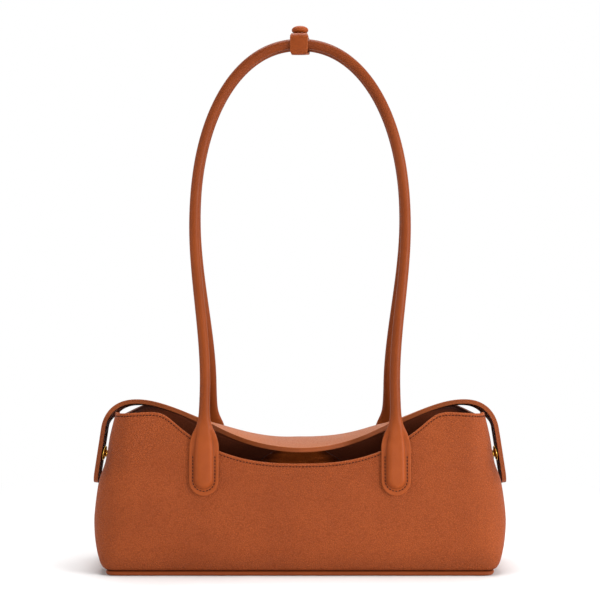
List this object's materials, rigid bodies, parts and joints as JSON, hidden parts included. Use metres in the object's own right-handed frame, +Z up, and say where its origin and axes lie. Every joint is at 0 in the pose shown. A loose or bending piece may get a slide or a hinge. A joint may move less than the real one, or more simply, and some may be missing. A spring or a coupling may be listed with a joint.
{
  "type": "baguette bag",
  "caption": "Long low leather shoulder bag with a dipped mouth, a lengthwise flap held by snap ears, two rolled handles on padded tabs and a button keeper.",
  "frame": {"origin": "centre of the base, on the table", "axes": "+Z up, +X to the right along the bag, -Y towards the viewer at the front panel"},
  "size_m": [0.3236, 0.109, 0.424],
  "materials": {
    "pebbled_leather": "fine pebble grain, satin",
    "smooth_leather": "smooth, softly waxed",
    "strap_leather": "smooth, painted edges",
    "piping_leather": "smooth, rolled",
    "lining": "brushed suede",
    "padding": "felt",
    "board": "fibreboard",
    "brass": "polished, lightly worn"
  },
  "bodies": {
    "bag": {"front_panel": "pebbled_leather", "back_panel": "pebbled_leather", "left_gusset": "pebbled_leather", "right_gusset": "pebbled_leather", "base_panel": "pebbled_leather", "base_piping": "piping_leather", "base_board": "board", "floor_lining": "lining", "front_lining": "lining", "back_lining": "lining", "left_lining": "lining", "right_lining": "lining", "front_rim_facing": "pebbled_leather", "back_rim_facing": "pebbled_leather", "left_rim_facing": "pebbled_leather", "right_rim_facing": "pebbled_leather", "inner_pocket": "lining", "hinge_strip": "pebbled_leather", "front_left_tab": "smooth_leather", "front_right_tab": "smooth_leather", "back_left_tab": "smooth_leather", "back_right_tab": "smooth_leather", "front_left_tab_pad": "padding", "front_right_tab_pad": "padding", "back_left_tab_pad": "padding", "back_right_tab_pad": "padding", "left_snap_stud": "brass", "right_snap_stud": "brass", "left_snap_washer": "brass", "right_snap_washer": "brass"},
    "flap": {"flap_top": "strap_leather", "flap_underside": "strap_leather", "hinge_leaf": "pebbled_leather"},
    "left_wing": {"left_wing_top": "strap_leather", "left_wing_underside": "strap_leather"},
    "right_wing": {"right_wing_top": "strap_leather", "right_wing_underside": "strap_leather"},
    "left_ear": {"left_ear_top": "strap_leather", "left_ear_underside": "strap_leather", "left_snap_socket": "brass"},
    "right_ear": {"right_ear_top": "strap_leather", "right_ear_underside": "strap_leather", "right_snap_socket": "brass"},
    "front_handle": {"front_handle": "smooth_leather", "front_handle_core": "padding"},
    "back_handle": {"back_handle": "smooth_leather", "back_handle_core": "padding", "keeper_strap": "smooth_leather"},
    "keeper_tab": {"keeper_tab": "smooth_leather", "keeper_shank": "brass", "keeper_button": "smooth_leather"}
  },
  "joints": [
    {"name": "flap_lift", "type": "hinge", "parent": "bag", "child": "flap", "pos_m": [0, 0.0365, 0.0926], "axis": [-1, 0, 0], "range_deg": [0, 45]},
    {"name": "left_wing_fold", "type": "hinge", "parent": "flap", "child": "left_wing", "pos_m": [-0.088, 0, 0.11968], "axis": [0, 1, 0], "range_deg": [0, 80]},
    {"name": "right_wing_fold", "type": "hinge", "parent": "flap", "child": "right_wing", "pos_m": [0.088, 0, 0.11968], "axis": [0, -1, 0], "range_deg": [0, 80]},
    {"name": "left_ear_open", "type": "hinge", "parent": "left_wing", "child": "left_ear", "pos_m": [-0.15508, 0, 0.108], "axis": [0, 1, 0], "range_deg": [0, 90]},
    {"name": "right_ear_open", "type": "hinge", "parent": "right_wing", "child": "right_ear", "pos_m": [0.15508, 0, 0.108], "axis": [0, -1, 0], "range_deg": [0, 90]},
    {"name": "front_handle_swing", "type": "hinge", "parent": "bag", "child": "front_handle", "pos_m": [0, -0.05211, 0.10207], "axis": [1, 0, 0], "range_deg": [0, 110]},
    {"name": "back_handle_swing", "type": "hinge", "parent": "bag", "child": "back_handle", "pos_m": [0, 0.05211, 0.10207], "axis": [-1, 0, 0], "range_deg": [0, 110]},
    {"name": "keeper_tab_open", "type": "hinge", "parent": "back_handle", "child": "keeper_tab", "pos_m": [0, -0.0106, 0.3991], "axis": [1, 0, 0], "range_deg": [0, 150]}
  ]
}
